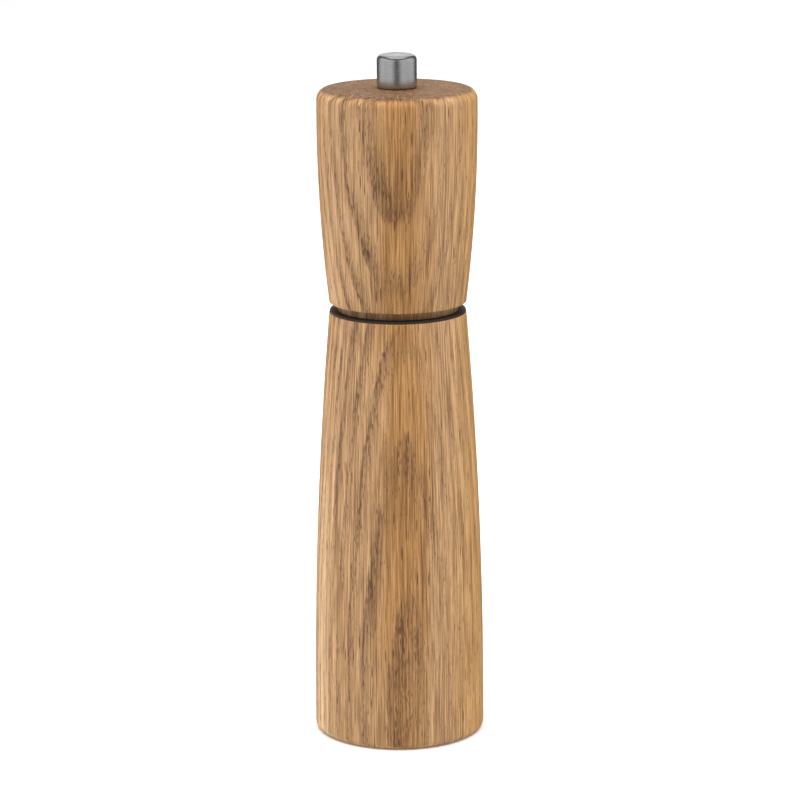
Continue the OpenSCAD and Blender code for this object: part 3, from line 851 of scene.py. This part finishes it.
class MILL_OT_oak_head(bpy.types.Operator):
    """Turn the oak head, with its neck, its tenon and its bores"""

    bl_idname = "mill.oak_head"
    bl_label = "Oak Head"

    def execute(self, context):
        sizes, look = context.scene.mill_sizes, context.scene.mill_oak
        edge = sizes.break_edge
        brow = top("head")
        waist = reach("slide_ring") + sizes.ring_lip
        start = top("body") + sizes.groove_height
        neck = waist - sizes.groove_inset
        neck_foot = top("slide_ring") + FIT_GAP
        tenon = waist - sizes.rim_wall - sizes.ring_wall - sizes.tenon_gap
        tenon_foot = foot("head")
        widest = brow - sizes.head_belly
        plate = reach("drive_plate") + FIT_GAP
        plate_top = foot("drive_plate") + sizes.plate_thickness
        collar = collar_radius(sizes) + FIT_GAP
        collar_top = top("drive_plate")
        bore = reach("spindle") * math.sqrt(2) + sizes.head_bore_gap
        flange, ferrule_foot = reach("head_ferrule"), foot("head_ferrule")
        ferrule, flange_foot = flange - sizes.ferrule_lip, brow - sizes.ferrule_flange

        def side(z):
            return bowed(z, reach("head"), widest, waist, start)

        low, high = start + sizes.head_foot_round, brow - sizes.head_round
        outline = rounded(
            [
                (plate, plate_top, 0), (plate, tenon_foot, 0), (tenon, tenon_foot, edge),
                (tenon, neck_foot, 0), (neck, neck_foot, edge / 3), (neck, start, edge / 2),
            ]
        )
        outline += arc(side(low) - sizes.head_foot_round, low, sizes.head_foot_round, -90, 0, 6)
        outline += [(side(z), z) for z in stretch(low + 0.5 * MM, high - 0.5 * MM, 48)]
        outline += arc(side(high) - sizes.head_round, high, sizes.head_round, 0, 90, 16)
        outline += [
            (flange + edge, brow), (flange, brow - edge), (flange, flange_foot),
            (ferrule, flange_foot), (ferrule, ferrule_foot), (bore, ferrule_foot),
            (bore, collar_top), (collar, collar_top), (collar, plate_top),
        ]
        piece = swept("oak_head", outline, 256)
        oak = oak_finish(
            "oak_head", look, look.head_pith, look.head_year, look.head_start,
            look.head_lean, look.head_level, seed=31.0,
        )
        finished(piece, "head", "head", oak)
        return {"FINISHED"}


class MILL_OT_slide_ring(bpy.types.Operator):
    """Mould the dark ring that the head slides on"""

    bl_idname = "mill.slide_ring"
    bl_label = "Slide Ring"

    def execute(self, context):
        sizes = context.scene.mill_sizes
        low, high, outer = extent("slide_ring")
        mouth = outer + sizes.ring_lip - sizes.rim_wall
        inner = mouth - sizes.ring_wall
        skirt = mouth - 0.02 * MM
        under = high - sizes.ring_flange
        outline = rounded(
            [
                (inner, low, 0.15 * MM), (skirt, low, 0.3 * MM), (skirt, under, 0),
                (outer, under, 0.08 * MM), (outer, high, 0.2 * MM), (inner, high, 0.3 * MM),
            ]
        )
        ring = swept("slide_ring_mould", outline, 192)
        finished(ring, "base", "slide_ring", finish("ring_plastic"))
        return {"FINISHED"}


class MILL_OT_knob(bpy.types.Operator):
    """Turn and brush the steel knob, with its threaded insert and its washer"""

    bl_idname = "mill.knob"
    bl_label = "Knob"

    def execute(self, context):
        sizes = context.scene.mill_sizes
        low, high, outer = extent("knob")
        insert_foot, insert_top, insert = extent("knob_insert")
        washer_foot, washer_top, rim = extent("knob_washer")
        recess = rim + FIT_GAP
        crown = outer - sizes.knob_round
        shoulder = high - sizes.knob_dome
        bore = sizes.thread_radius + SMALL_GAP
        bore_top = high - 1.8 * MM
        outline = rounded(
            [
                (insert, insert_foot, 0), (recess, insert_foot, 0), (recess, low, 0.1 * MM),
                (outer, low, sizes.break_edge), (outer, low + 1 * MM, 0),
            ]
        )
        outline += arc(crown, shoulder - sizes.knob_round, sizes.knob_round, 0, 84, 20)
        rim_radius, rim_height = outline[-1]
        outline += [
            (rim_radius * (1 - s), rim_height + (high - rim_height) * (1 - (1 - s) ** 2))
            for s in stretch(0.08, 1.0, 12)
        ]
        outline += [(0.0, bore_top), (bore, bore_top), (bore, insert_top), (insert, insert_top)]
        knob = swept("knob_turned", outline, 192)
        finished(knob, "knob", "knob", finish("brushed_knob"))

        pitch, depth = sizes.thread_pitch, sizes.thread_depth
        rows = [(insert, insert_foot), (insert, insert_top)]
        rows += reversed(thread_rows(bore + depth, depth, pitch, insert_foot, insert_top))
        insert_piece = swept("knob_insert_turned", rows, 72)
        finished(insert_piece, "knob", "knob_insert", finish("turned_brass"))

        hole = sizes.thread_radius + 0.3 * MM
        corners = ((hole, washer_foot), (rim, washer_foot), (rim, washer_top), (hole, washer_top))
        soft = rounded([(*corner, 0.12 * MM) for corner in corners])
        washer = swept("knob_washer_ring", soft, 96)
        finished(washer, "knob_washer", "knob_washer", finish("pale_nylon"))
        return {"FINISHED"}


class MILL_OT_spindle(bpy.types.Operator):
    """Draw the square spindle and roll its threads, with its nut and its washer"""

    bl_idname = "mill.spindle"
    bl_label = "Spindle"

    def execute(self, context):
        sizes = context.scene.mill_sizes
        low, high, half = extent("spindle")
        radius, depth, pitch = sizes.thread_radius, sizes.thread_depth, sizes.thread_pitch
        square_foot = foot("rotor_hub")
        square_top = foot("head_ferrule") - 1.3 * MM
        corner = half * math.sqrt(2) - 0.12 * MM
        blunt = radius + 0.6 * MM
        clip_low, clip_high = foot("spindle_clip") - FIT_GAP, top("spindle_clip") + FIT_GAP
        groove = half + 0.4 * MM
        ease = 0.35 * MM

        rows = [(0.0, low)] + thread_rows(radius, depth, pitch, low, square_foot)
        rows += [square(half, square_foot, blunt), square(half, square_foot + ease, corner)]
        rows += [square(half, clip_low, corner), square(half, clip_low, groove)]
        rows += [square(half, clip_high, groove), square(half, clip_high, corner)]
        rows += [square(half, square_top - ease, corner), square(half, square_top, blunt)]
        rows += thread_rows(radius, depth, pitch, square_top, high) + [(0.0, high)]
        spindle = swept("spindle_bar", rows, 72, closed=False)
        finished(spindle, "spindle", "spindle", finish("bright_steel"))

        nut_foot, nut_top = foot("spindle_nut"), top("spindle_nut")
        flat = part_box("spindle_nut")[1].y
        chamfer = flat * 1.02
        rows = [hexagon(flat, nut_foot, chamfer), hexagon(flat, nut_foot + ease)]
        rows += [hexagon(flat, nut_top - ease), hexagon(flat, nut_top, chamfer)]
        bore = radius + SMALL_GAP + depth
        rows += reversed(thread_rows(bore, depth, pitch, nut_foot, nut_top))
        nut = swept("spindle_nut_hex", rows, 96)
        finished(nut, "spindle", "spindle_nut", finish("bright_steel"))

        washer_foot, washer_top, rim = extent("spindle_washer")
        hole = radius + FIT_GAP
        corners = [
            (hole, washer_foot, 0.05 * MM), (rim, washer_foot, 0.18 * MM),
            (rim, washer_top, 0.08 * MM), (hole, washer_top, 0.05 * MM),
        ]
        washer = swept("spindle_washer_ring", rounded(corners), 96)
        finished(washer, "spindle", "spindle_washer", finish("bright_steel"))
        return {"FINISHED"}


class MILL_OT_grinder(bpy.types.Operator):
    """Make the two ceramic burrs with their teeth"""

    bl_idname = "mill.grinder"
    bl_label = "Grinder"

    def execute(self, context):
        sizes = context.scene.mill_sizes
        stator_foot, stator_top, outer = extent("stator")
        low_radius, throat = outer - sizes.foot_wall, outer - sizes.throat_wall
        mouth = outer - sizes.mouth_wall
        throat_height = stator_foot + sizes.fine_height
        teeth, flutes = sizes.fine_teeth, sizes.flutes

        def burr(z, flute_depth, low, middle, high, bottom, brim, hand):
            """A row across a burr: fine teeth below the throat, breaking flutes above it. low,
            middle and high are its radii, and hand is 1 for the stator and -1 for the rotor."""
            above = throat_height + THROAT_BLEND / 2
            fine_share = min(1.0, max(0.0, (above - z) / THROAT_BLEND))
            if z < throat_height:
                base = low + (middle - low) * (z - bottom) / (throat_height - bottom)
            else:
                base = middle + (high - middle) * (z - throat_height) / (brim - throat_height)

            def row(angle):
                saw = (teeth * angle / FULL_TURN + hand * (z - bottom) / TOOTH_LEAD) % 1.0
                fine = TOOTH_DEPTH * (1 - saw) * min(1.0, saw * TOOTH_STEEPNESS)
                wave = (flutes * angle / FULL_TURN + hand * (z - bottom) / FLUTE_LEAD) % 1.0
                coarse = flute_depth * (1 - wave) ** FLUTE_CURVE
                coarse *= min(1.0, wave * FLUTE_STEEPNESS)
                cut = fine_share * fine + (1 - fine_share) * coarse
                return base + (cut if hand > 0 else -cut), z

            return row

        rows = [(outer, stator_foot), (outer, stator_top)]
        rows += [
            burr(z, STATOR_FLUTE, low_radius, throat, mouth, stator_foot, stator_top, 1)
            for z in stretch(stator_top, stator_foot, BURR_ROWS)
        ]
        stator = swept("stator_burr", rows, BURR_SEGMENTS)
        finished(stator, "base", "stator", finish("white_ceramic"))

        rotor_foot, rotor_top = foot("rotor"), top("rotor")
        radii = low_radius - sizes.burr_gap, throat - sizes.burr_gap, sizes.rotor_crown
        hex_flat = hub_flat(sizes) + sizes.hub_gap
        rows = [hexagon(hex_flat, rotor_top), hexagon(hex_flat, rotor_foot)]
        rows += [
            burr(z, ROTOR_FLUTE, *radii, rotor_foot, rotor_top, -1)
            for z in stretch(rotor_foot, rotor_top, BURR_ROWS)
        ]
        rotor = swept("rotor_burr", rows, BURR_SEGMENTS)
        finished(rotor, "spindle", "rotor", finish("white_ceramic"))
        return {"FINISHED"}


def wood_screw(name, length, shank, head):
    """A countersunk wood screw with a cross recess, its head at z = 0 and its point up."""
    cone = head - shank
    arm, slot, depth = head * 0.6, shank * 0.5, cone * 0.85
    start, taper = cone + 0.8 * MM, SCREW_TAPER * shank
    under, point = cone + 0.1 * MM, length - 0.4 * MM

    def body(height):
        return min(shank, shank * 0.12 + (length - height) * shank / taper)

    rows = [(0.0, depth), cross_row(arm * 0.55, slot * 0.8, depth), cross_row(arm, slot, 0.0)]
    rows += [(head - 0.1 * MM, 0.0), (head, 0.1 * MM), (shank, under), (shank, start - 0.1 * MM)]
    thread, pitch = SCREW_THREAD_DEPTH * shank, SCREW_THREAD_PITCH * shank
    rows += thread_rows(body, thread, pitch, start, point)
    rows += [(0.0, length)]
    return swept(name, rows, 72, closed=False)


def countersinks(sizes, circle, height, depth):
    """Cutters for the countersunk holes of screws whose heads face down at a height."""
    head, shank = sizes.screw_head + SMALL_GAP, sizes.screw_radius + SMALL_GAP
    cone = head - shank + 0.1 * MM
    rows = [(0.0, -1 * MM), (head, -1 * MM), (head, 0.1 * MM), (shank, cone)]
    rows += [(shank, depth), (0.0, depth)]
    cutters = []
    for i in range(sizes.screw_count):
        angle = SCREW_TURN + FULL_TURN * i / sizes.screw_count
        cutter = swept("countersink", rows, 48, closed=False)
        cutter.location = (circle * math.cos(angle), circle * math.sin(angle), height)
        cutters.append(cutter)
    bpy.context.view_layer.update()
    return cutters


class MILL_OT_screws(bpy.types.Operator):
    """Roll the wood screws that hold the grinder and the drive plate"""

    bl_idname = "mill.screws"
    bl_label = "Screws"

    def execute(self, context):
        sizes = context.scene.mill_sizes
        for node, body in (("cover_screws", "base"), ("drive_plate_screws", "head")):
            circle = sizes.cover_circle if body == "base" else sizes.plate_circle
            low, high, _ = extent(node)
            one = wood_screw(node + "_rolled", high - low, sizes.screw_radius, sizes.screw_head)
            one.data.transform(Matrix.Translation((0, 0, low)))
            screws = around(one, sizes.screw_count, circle, SCREW_TURN)
            finished(screws, body, node, finish("bright_steel"))
        return {"FINISHED"}


class MILL_OT_housing_parts(bpy.types.Operator):
    """Make the cover under the grinder, the bridge, the bush and the hub"""

    bl_idname = "mill.housing_parts"
    bl_label = "Housing Parts"

    def execute(self, context):
        sizes = context.scene.mill_sizes
        low, high, rim = extent("bottom_cover")
        hole = reach("stator") - sizes.mouth_wall
        outline = rounded(
            [
                (hole + 1.2 * MM, low, 0.3 * MM), (rim - 0.6 * MM, low, 0.4 * MM),
                (rim, low + 0.6 * MM, 0.3 * MM), (rim, high, 0), (hole, high, 0),
                (hole, high - 0.8 * MM, 0.2 * MM),
            ]
        )
        cover = swept("grinder_cover", outline, 180)
        cover = drilled(cover, countersinks(sizes, sizes.cover_circle, low, 4 * MM))
        finished(cover, "base", "bottom_cover", finish("black_plastic"))

        collar, high, span = extent("bridge")
        low, half = collar, sizes.bridge_width / 2
        middle = reach("bearing_bush")
        bore = middle - sizes.bearing_lip

        def bar(height, inset):
            def row(angle):
                side = (half - inset) / max(abs(math.sin(angle)), 1e-4)
                return max(middle - inset, min(span - inset, side)), height

            return row

        ease = 0.2 * MM
        rows = [bar(low, ease), bar(low + ease, 0), bar(high - ease, 0), bar(high, ease)]
        rows += [(bore + ease, high), (bore, high - ease), (bore, low + ease), (bore + ease, low)]
        bridge = swept("bridge_bar", rows, 288)
        finished(bridge, "base", "bridge", finish("bright_steel"))

        low, high, _ = extent("bearing_bush")
        inner = reach("bearing_sleeve") - sizes.bearing_lip + SMALL_GAP
        outline = rounded(
            [
                (inner, low, 0.2 * MM), (middle, low, 0.2 * MM), (middle, collar, 0.1 * MM),
                (bore, collar, 0), (bore, high - 0.4 * MM, 0.2 * MM),
                (bore - 0.4 * MM, high, 0.1 * MM), (inner, high, 0.2 * MM),
            ]
        )
        bush = swept("bush_mould", outline, 128)
        finished(bush, "base", "bearing_bush", finish("pale_nylon"))

        low, high, flange = extent("rotor_hub")
        seat, crown, _ = extent("rotor")
        hole, flat = square_hole(sizes), hub_flat(sizes)
        ease = 0.25 * MM
        rows = [square(hole, low), (flange - ease, low), (flange, low + ease)]
        rows += [(flange, seat - ease / 2), (flange - ease / 2, seat), hexagon(flat, seat)]
        rows += [hexagon(flat, crown), (flat, crown), (flat, high - ease), (flat - ease, high)]
        rows += [square(hole, high)]
        hub = swept("hub_mould", rows, 144)
        finished(hub, "spindle", "rotor_hub", finish("black_plastic"))
        return {"FINISHED"}


def coiled(name, coil, wire, low, high, turns):
    """A wire wound round the axis between two heights, with its end turns closed and flat. coil is
    the radius of its middle line, and wire is the wire's own radius."""
    closed = FLAT_RISE * wire * FLAT_TURNS / (high - low)
    rings = round(SPRING_RINGS * turns)
    vertices, faces = [], []
    for i in range(rings + 1):
        turn = turns * i / rings
        if turn < FLAT_TURNS:
            share = closed * turn / FLAT_TURNS
        elif turns - turn < FLAT_TURNS:
            share = 1 - closed * (turns - turn) / FLAT_TURNS
        else:
            share = closed + (1 - 2 * closed) * (turn - FLAT_TURNS) / (turns - 2 * FLAT_TURNS)
        angle, height = FULL_TURN * turn, low + (high - low) * share
        for k in range(WIRE_SIDES):
            lean = FULL_TURN * k / WIRE_SIDES
            radius = coil + wire * math.cos(lean)
            side = radius * math.cos(angle), radius * math.sin(angle)
            vertices.append((*side, height + wire * math.sin(lean)))
        if i:
            first = (i - 1) * WIRE_SIDES
            for k in range(WIRE_SIDES):
                a, b = first + k, first + (k + 1) % WIRE_SIDES
                faces.append((a, b, b + WIRE_SIDES, a + WIRE_SIDES))
    last = rings * WIRE_SIDES
    faces += [tuple(range(WIRE_SIDES)), tuple(last + k for k in range(WIRE_SIDES))]
    return piece_from(name, vertices, faces)


class MILL_OT_drive_parts(bpy.types.Operator):
    """Make the bearing sleeve, the spring, the drive plate and the ferrule"""

    bl_idname = "mill.drive_parts"
    bl_label = "Drive Parts"

    def execute(self, context):
        sizes = context.scene.mill_sizes
        hole = square_hole(sizes)
        low, high, flange = extent("bearing_sleeve")
        collar = foot("bearing_bush") - SMALL_GAP
        wall = flange - sizes.bearing_lip
        ease = sizes.break_edge
        rows = [square(hole, low), (flange - ease, low), (flange, low + ease)]
        rows += [(flange, collar - ease), (flange - ease, collar), (wall, collar)]
        rows += [(wall, high - ease), (wall - ease, high), square(hole, high)]
        sleeve = swept("bearing_sleeve_turned", rows, 144)
        finished(sleeve, "drive", "bearing_sleeve", finish("turned_brass"))

        low, high, rim = extent("drive_plate")
        face, neck = low + sizes.plate_thickness, collar_radius(sizes)
        rows = [square(hole, low), (rim - ease, low), (rim, low + ease), (rim, face - ease / 2)]
        rows += [(rim - ease / 2, face), (neck, face), (neck, high - ease), (neck - ease, high)]
        rows += [square(hole, high)]
        plate = swept("drive_plate_pressed", rows, 192)
        plate = drilled(plate, countersinks(sizes, sizes.plate_circle, low, 3 * MM))
        finished(plate, "head", "drive_plate", finish("bright_steel"))

        low, high, flange = extent("head_ferrule")
        tube, under = flange - sizes.ferrule_lip, high - sizes.ferrule_flange
        bore = sizes.thread_radius + 0.25 * MM
        outline = rounded(
            [
                (bore, low, 0.1 * MM), (tube, low, 0.2 * MM), (tube, under, 0),
                (flange, under, 0), (flange, high, 0.2 * MM), (bore, high, 0.2 * MM),
            ]
        )
        ferrule = swept("head_ferrule_turned", outline, 128)
        finished(ferrule, "head", "head_ferrule", finish("turned_brass"))

        wire = sizes.spring_wire / 2
        low, high, outer = extent("spring")
        low, high = low + wire, high - wire
        spring = coiled("pressure_spring", outer - wire, wire, low, high, sizes.spring_turns)
        finished(spring, None, "spring", finish("bright_steel"))
        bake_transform(spring)
        return {"FINISHED"}


class MILL_OT_carried_parts(bpy.types.Operator):
    """Give the parts that keep the frame's own shape their finishes"""

    bl_idname = "mill.carried_parts"
    bl_label = "Carried Parts"

    def execute(self, context):
        carried = {"grinder_housing": "black_plastic", "spindle_clip": "bright_steel"}
        for node, name in carried.items():
            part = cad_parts[node]
            if not part.material_slots:
                part.data.materials.append(None)
            for place in part.material_slots:
                place.material = finish(name)
        return {"FINISHED"}


# ---------------------------------------------------------------- stage


def soft_light(name, place, aim, width, height, power):
    """A rectangular studio light that faces its aim."""
    light = bpy.data.lights.new(name, "AREA")
    light.shape = "RECTANGLE"
    light.size, light.size_y, light.energy = width, height, power
    lamp = bpy.data.objects.new(name, light)
    bpy.context.scene.collection.objects.link(lamp)
    lamp.location = place
    lamp.rotation_euler = (Vector(aim) - Vector(place)).to_track_quat("-Z", "Y").to_euler()
    lamp.visible_camera = False
    return lamp


def around_axis(degrees, distance, height):
    """A place round the mill: 0 degrees is towards the camera and positive is to its right."""
    angle = math.radians(degrees)
    return (distance * math.sin(angle), -distance * math.cos(angle), height)


class MILL_OT_stage(bpy.types.Operator):
    """Set the camera, the pale floor and the soft studio lights"""

    bl_idname = "mill.stage"
    bl_label = "Stage"

    def execute(self, context):
        look = context.scene.mill_stage
        camera_data = bpy.data.cameras.new("camera")
        camera_data.lens = look.lens
        camera_data.sensor_width = SENSOR_WIDTH
        camera_data.clip_end = FAR_CLIP
        camera = bpy.data.objects.new("camera", camera_data)
        bpy.context.scene.collection.objects.link(camera)
        camera.location = (look.camera_aside, -look.camera_distance, look.camera_height)
        level = Matrix.Rotation(math.pi / 2 - look.camera_tilt, 4, "X")
        roll = Matrix.Rotation(-look.camera_roll, 4, "Z")
        camera.rotation_euler = (level @ roll).to_euler()
        bpy.context.scene.camera = camera

        bpy.ops.mesh.primitive_circle_add(vertices=96, radius=look.floor_radius, fill_type="NGON")
        floor = bpy.context.object
        floor.name = "floor"
        pale = Finish("floor")
        cloud = pale.noise(pale.place(), (900, 900, 900), 1.0, 0.5, 1.0)
        cloud = pale.band(cloud, 0.0, 1.0, 0.0, 0.02)
        paint = pale.mix(cloud, look.floor_colour, (0.9, 0.9, 0.9))
        pale.surface(Base_Color=paint, Roughness=0.9, Specular_IOR_Level=0.0)
        # seen from below the floor is clear, and the light under it stands for what it throws up
        below = pale.node("NewGeometry").outputs["Backfacing"]
        clear = pale.node("BsdfTransparent").outputs[0]
        seen = pale.node("MixShader", {0: below, 1: pale.shader.outputs[0], 2: clear}).outputs[0]
        pale.tree.links.new(seen, pale.tree.nodes["Material Output"].inputs["Surface"])
        floor.data.materials.append(pale.material)
        floor.visible_glossy = floor.visible_diffuse = floor.visible_shadow = False

        middle = (0.0, 0.0, 0.12)
        card = look.card_glow * math.pi * LAMP_TALL
        for side, name, share in ((-1, "left", look.left_share), (1, "right", look.right_share)):
            # the lights brighten dull faces, and the cards are what the polished parts mirror
            for kind, angle, distance, width, power, mirrored in (
                ("front_light", 36, FRONT_DISTANCE, 1.40, look.front_power, False),
                ("side_light", 100, SIDE_DISTANCE, 1.60, look.side_power, False),
                ("front_card", 40, FRONT_DISTANCE, 1.36, card * 1.36, True),
                ("side_card", 92, SIDE_DISTANCE, 1.26, card * 1.26, True),
            ):
                where = around_axis(side * angle, distance, LAMP_HEIGHT)
                lamp = soft_light(f"{name}_{kind}", where, middle, width, LAMP_TALL, share * power)
                lamp.visible_glossy, lamp.visible_diffuse = mirrored, not mirrored
        where = around_axis(-131, 1.05, -0.43)
        edge = soft_light("edge_light", where, middle, 0.30, 0.62, look.edge_power)
        edge.data.color = look.edge_colour
        where = around_axis(180, 1.30, 1.00)
        soft_light("back_light", where, middle, 1.20, 1.4, look.back_power)
        soft_light("top_light", (0.0, 0.0, 1.7), middle, 1.6, 1.6, look.top_power)

        glow = soft_light("floor_glow", (0.0, 0.0, -0.45), middle, 4.0, 4.0, look.glow_power)
        glow.visible_glossy = False

        sun_data = bpy.data.lights.new("sky_light", "SUN")
        sun_data.energy = look.sky_power
        sun_data.angle = math.radians(70)
        sun = bpy.data.objects.new("sky_light", sun_data)
        bpy.context.scene.collection.objects.link(sun)
        sun.visible_glossy = False

        world = bpy.data.worlds.new("surround")
        bpy.context.scene.world = world
        world.use_nodes = True
        nodes, links = world.node_tree.nodes, world.node_tree.links
        background = nodes["Background"]
        background.inputs["Color"].default_value = (1.0, 1.0, 1.0, 1.0)
        strength = nodes.new("ShaderNodeMapRange")
        strength.inputs["To Min"].default_value = look.surround
        strength.inputs["To Max"].default_value = look.backdrop
        seen = nodes.new("ShaderNodeLightPath").outputs["Is Camera Ray"]
        links.new(seen, strength.inputs["Value"])
        links.new(strength.outputs[0], background.inputs["Strength"])
        bpy.context.scene.view_settings.view_transform = "Standard"
        return {"FINISHED"}


class MILL_PT_panel(bpy.types.Panel):
    """Lists the mill's pieces"""

    bl_idname = "MILL_PT_panel"
    bl_label = "Pepper Mill"
    bl_space_type = "VIEW_3D"
    bl_region_type = "UI"
    bl_category = "Mill"

    def draw(self, context):
        for name in STEPS:
            self.layout.operator("mill." + name)
        scene = context.scene
        for group in (scene.mill_sizes, scene.mill_oak, scene.mill_colours, scene.mill_stage):
            for key in group.__annotations__:
                self.layout.prop(group, key)


STEPS = (
    "stage", "oak_body", "oak_head", "slide_ring", "knob", "spindle", "grinder", "housing_parts",
    "drive_parts", "screws", "carried_parts",
)

CLASSES = (
    MillSizes, OakLook, PartColours, StageLook,
    MILL_OT_stage, MILL_OT_oak_body, MILL_OT_oak_head, MILL_OT_slide_ring, MILL_OT_knob,
    MILL_OT_spindle, MILL_OT_grinder, MILL_OT_housing_parts, MILL_OT_drive_parts, MILL_OT_screws,
    MILL_OT_carried_parts, MILL_PT_panel,
)


def register():
    for item in CLASSES:
        bpy.utils.register_class(item)
    bpy.types.Scene.mill_sizes = PointerProperty(type=MillSizes)
    bpy.types.Scene.mill_oak = PointerProperty(type=OakLook)
    bpy.types.Scene.mill_colours = PointerProperty(type=PartColours)
    bpy.types.Scene.mill_stage = PointerProperty(type=StageLook)


def unregister():
    del bpy.types.Scene.mill_stage
    del bpy.types.Scene.mill_colours
    del bpy.types.Scene.mill_oak
    del bpy.types.Scene.mill_sizes
    for item in reversed(CLASSES):
        bpy.utils.unregister_class(item)


def main():
    register()
    for name in STEPS:
        getattr(bpy.ops.mill, name)()


if __name__ == "__main__":
    main()
